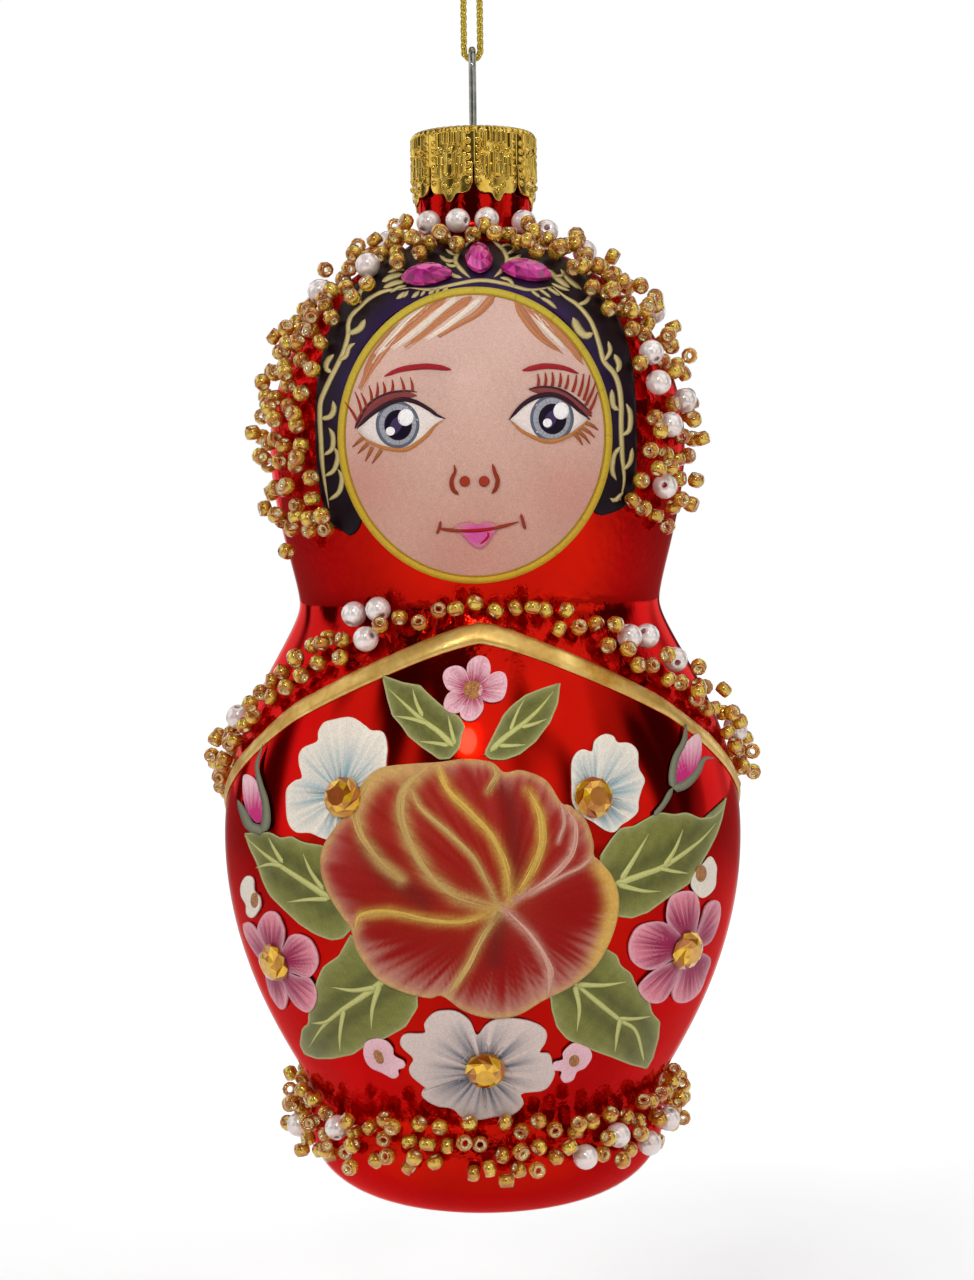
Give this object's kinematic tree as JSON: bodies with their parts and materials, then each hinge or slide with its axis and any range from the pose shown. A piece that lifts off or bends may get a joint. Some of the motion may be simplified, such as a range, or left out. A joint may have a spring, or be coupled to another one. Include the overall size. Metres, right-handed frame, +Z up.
{
  "type": "hanging glass doll ornament",
  "caption": "Blown-glass hanging ornament in nesting-doll form: red mirrored glass with printed face and flowers, bead bands, gold trim, stamped cap, sprung wire hanger and looped cord.",
  "frame": {"origin": "where a hook bears on the top of the cord loop, with the doll hanging straight down", "axes": "+Z up along the hanging axis, -Y out of the doll's face, +X to the viewer's right"},
  "size_m": [0.0703, 0.0686, 0.1808],
  "materials": {
    "red_glass": "red lacquer over silvered glass, mirror gloss",
    "cap_gold": "stamped, bright gold",
    "trim_gold": "smooth gold foil",
    "wire_steel": "drawn wire",
    "gold_cord": "braided metallic thread",
    "face_print": "printed film, face of a doll",
    "band_print": "printed film, dark violet with gold scrolls",
    "rose_print": "printed film, rose",
    "leaf_print": "printed film, veined leaf",
    "white_print": "printed film, white petals",
    "pink_print": "printed film, pink petals",
    "magenta_stone": "faceted, foil backed",
    "amber_stone": "faceted, foil backed",
    "amber_bead": "silver-lined seed bead",
    "pearl": "pearl lustre"
  },
  "bodies": {
    "cord": {"hang_cord": "gold_cord", "cord_knot": "gold_cord"},
    "hanger": {"hanger_wire": "wire_steel"},
    "cap": {"cap_crown": "cap_gold"},
    "doll": {"glass_doll": "red_glass", "shawl_trim": "trim_gold", "face_disc": "face_print", "headband": "band_print", "headband_stone_left": "magenta_stone", "headband_stone_middle": "magenta_stone", "headband_stone_right": "magenta_stone", "rose": "rose_print", "leaf_top_left": "leaf_print", "leaf_top_right": "leaf_print", "leaf_mid_left": "leaf_print", "leaf_mid_right": "leaf_print", "leaf_low_left": "leaf_print", "leaf_low_right": "leaf_print", "white_flower_left": "white_print", "white_flower_right": "white_print", "white_flower_low": "white_print", "pink_flower_left": "pink_print", "pink_flower_right": "pink_print", "pink_flower_top": "pink_print", "pink_sprig_left": "pink_print", "pink_sprig_right": "pink_print", "white_sprig_left": "white_print", "white_sprig_right": "white_print", "bud_left": "pink_print", "bud_right": "pink_print", "amber_stone_left": "amber_stone", "amber_stone_right": "amber_stone", "amber_stone_side_left": "amber_stone", "amber_stone_side_right": "amber_stone", "amber_stone_low": "amber_stone", "hood_beads": "amber_bead", "hood_pearls": "pearl", "shoulder_beads": "amber_bead", "shoulder_pearls": "pearl", "base_beads": "amber_bead", "base_pearls": "pearl"}
  },
  "joints": [
    {"name": "hanger_swing", "type": "hinge", "parent": "cord", "child": "hanger", "pos_m": [0, 0, -0.0335], "axis": [0, 1, 0], "range_deg": [-90, 90]},
    {"name": "cap_lift", "type": "slide", "parent": "hanger", "child": "cap", "axis": [0, 0, 1], "range_m": [0, 0.0065]},
    {"name": "doll_pull", "type": "slide", "parent": "hanger", "child": "doll", "axis": [0, 0, -1], "range_m": [0, 0.022]}
  ]
}
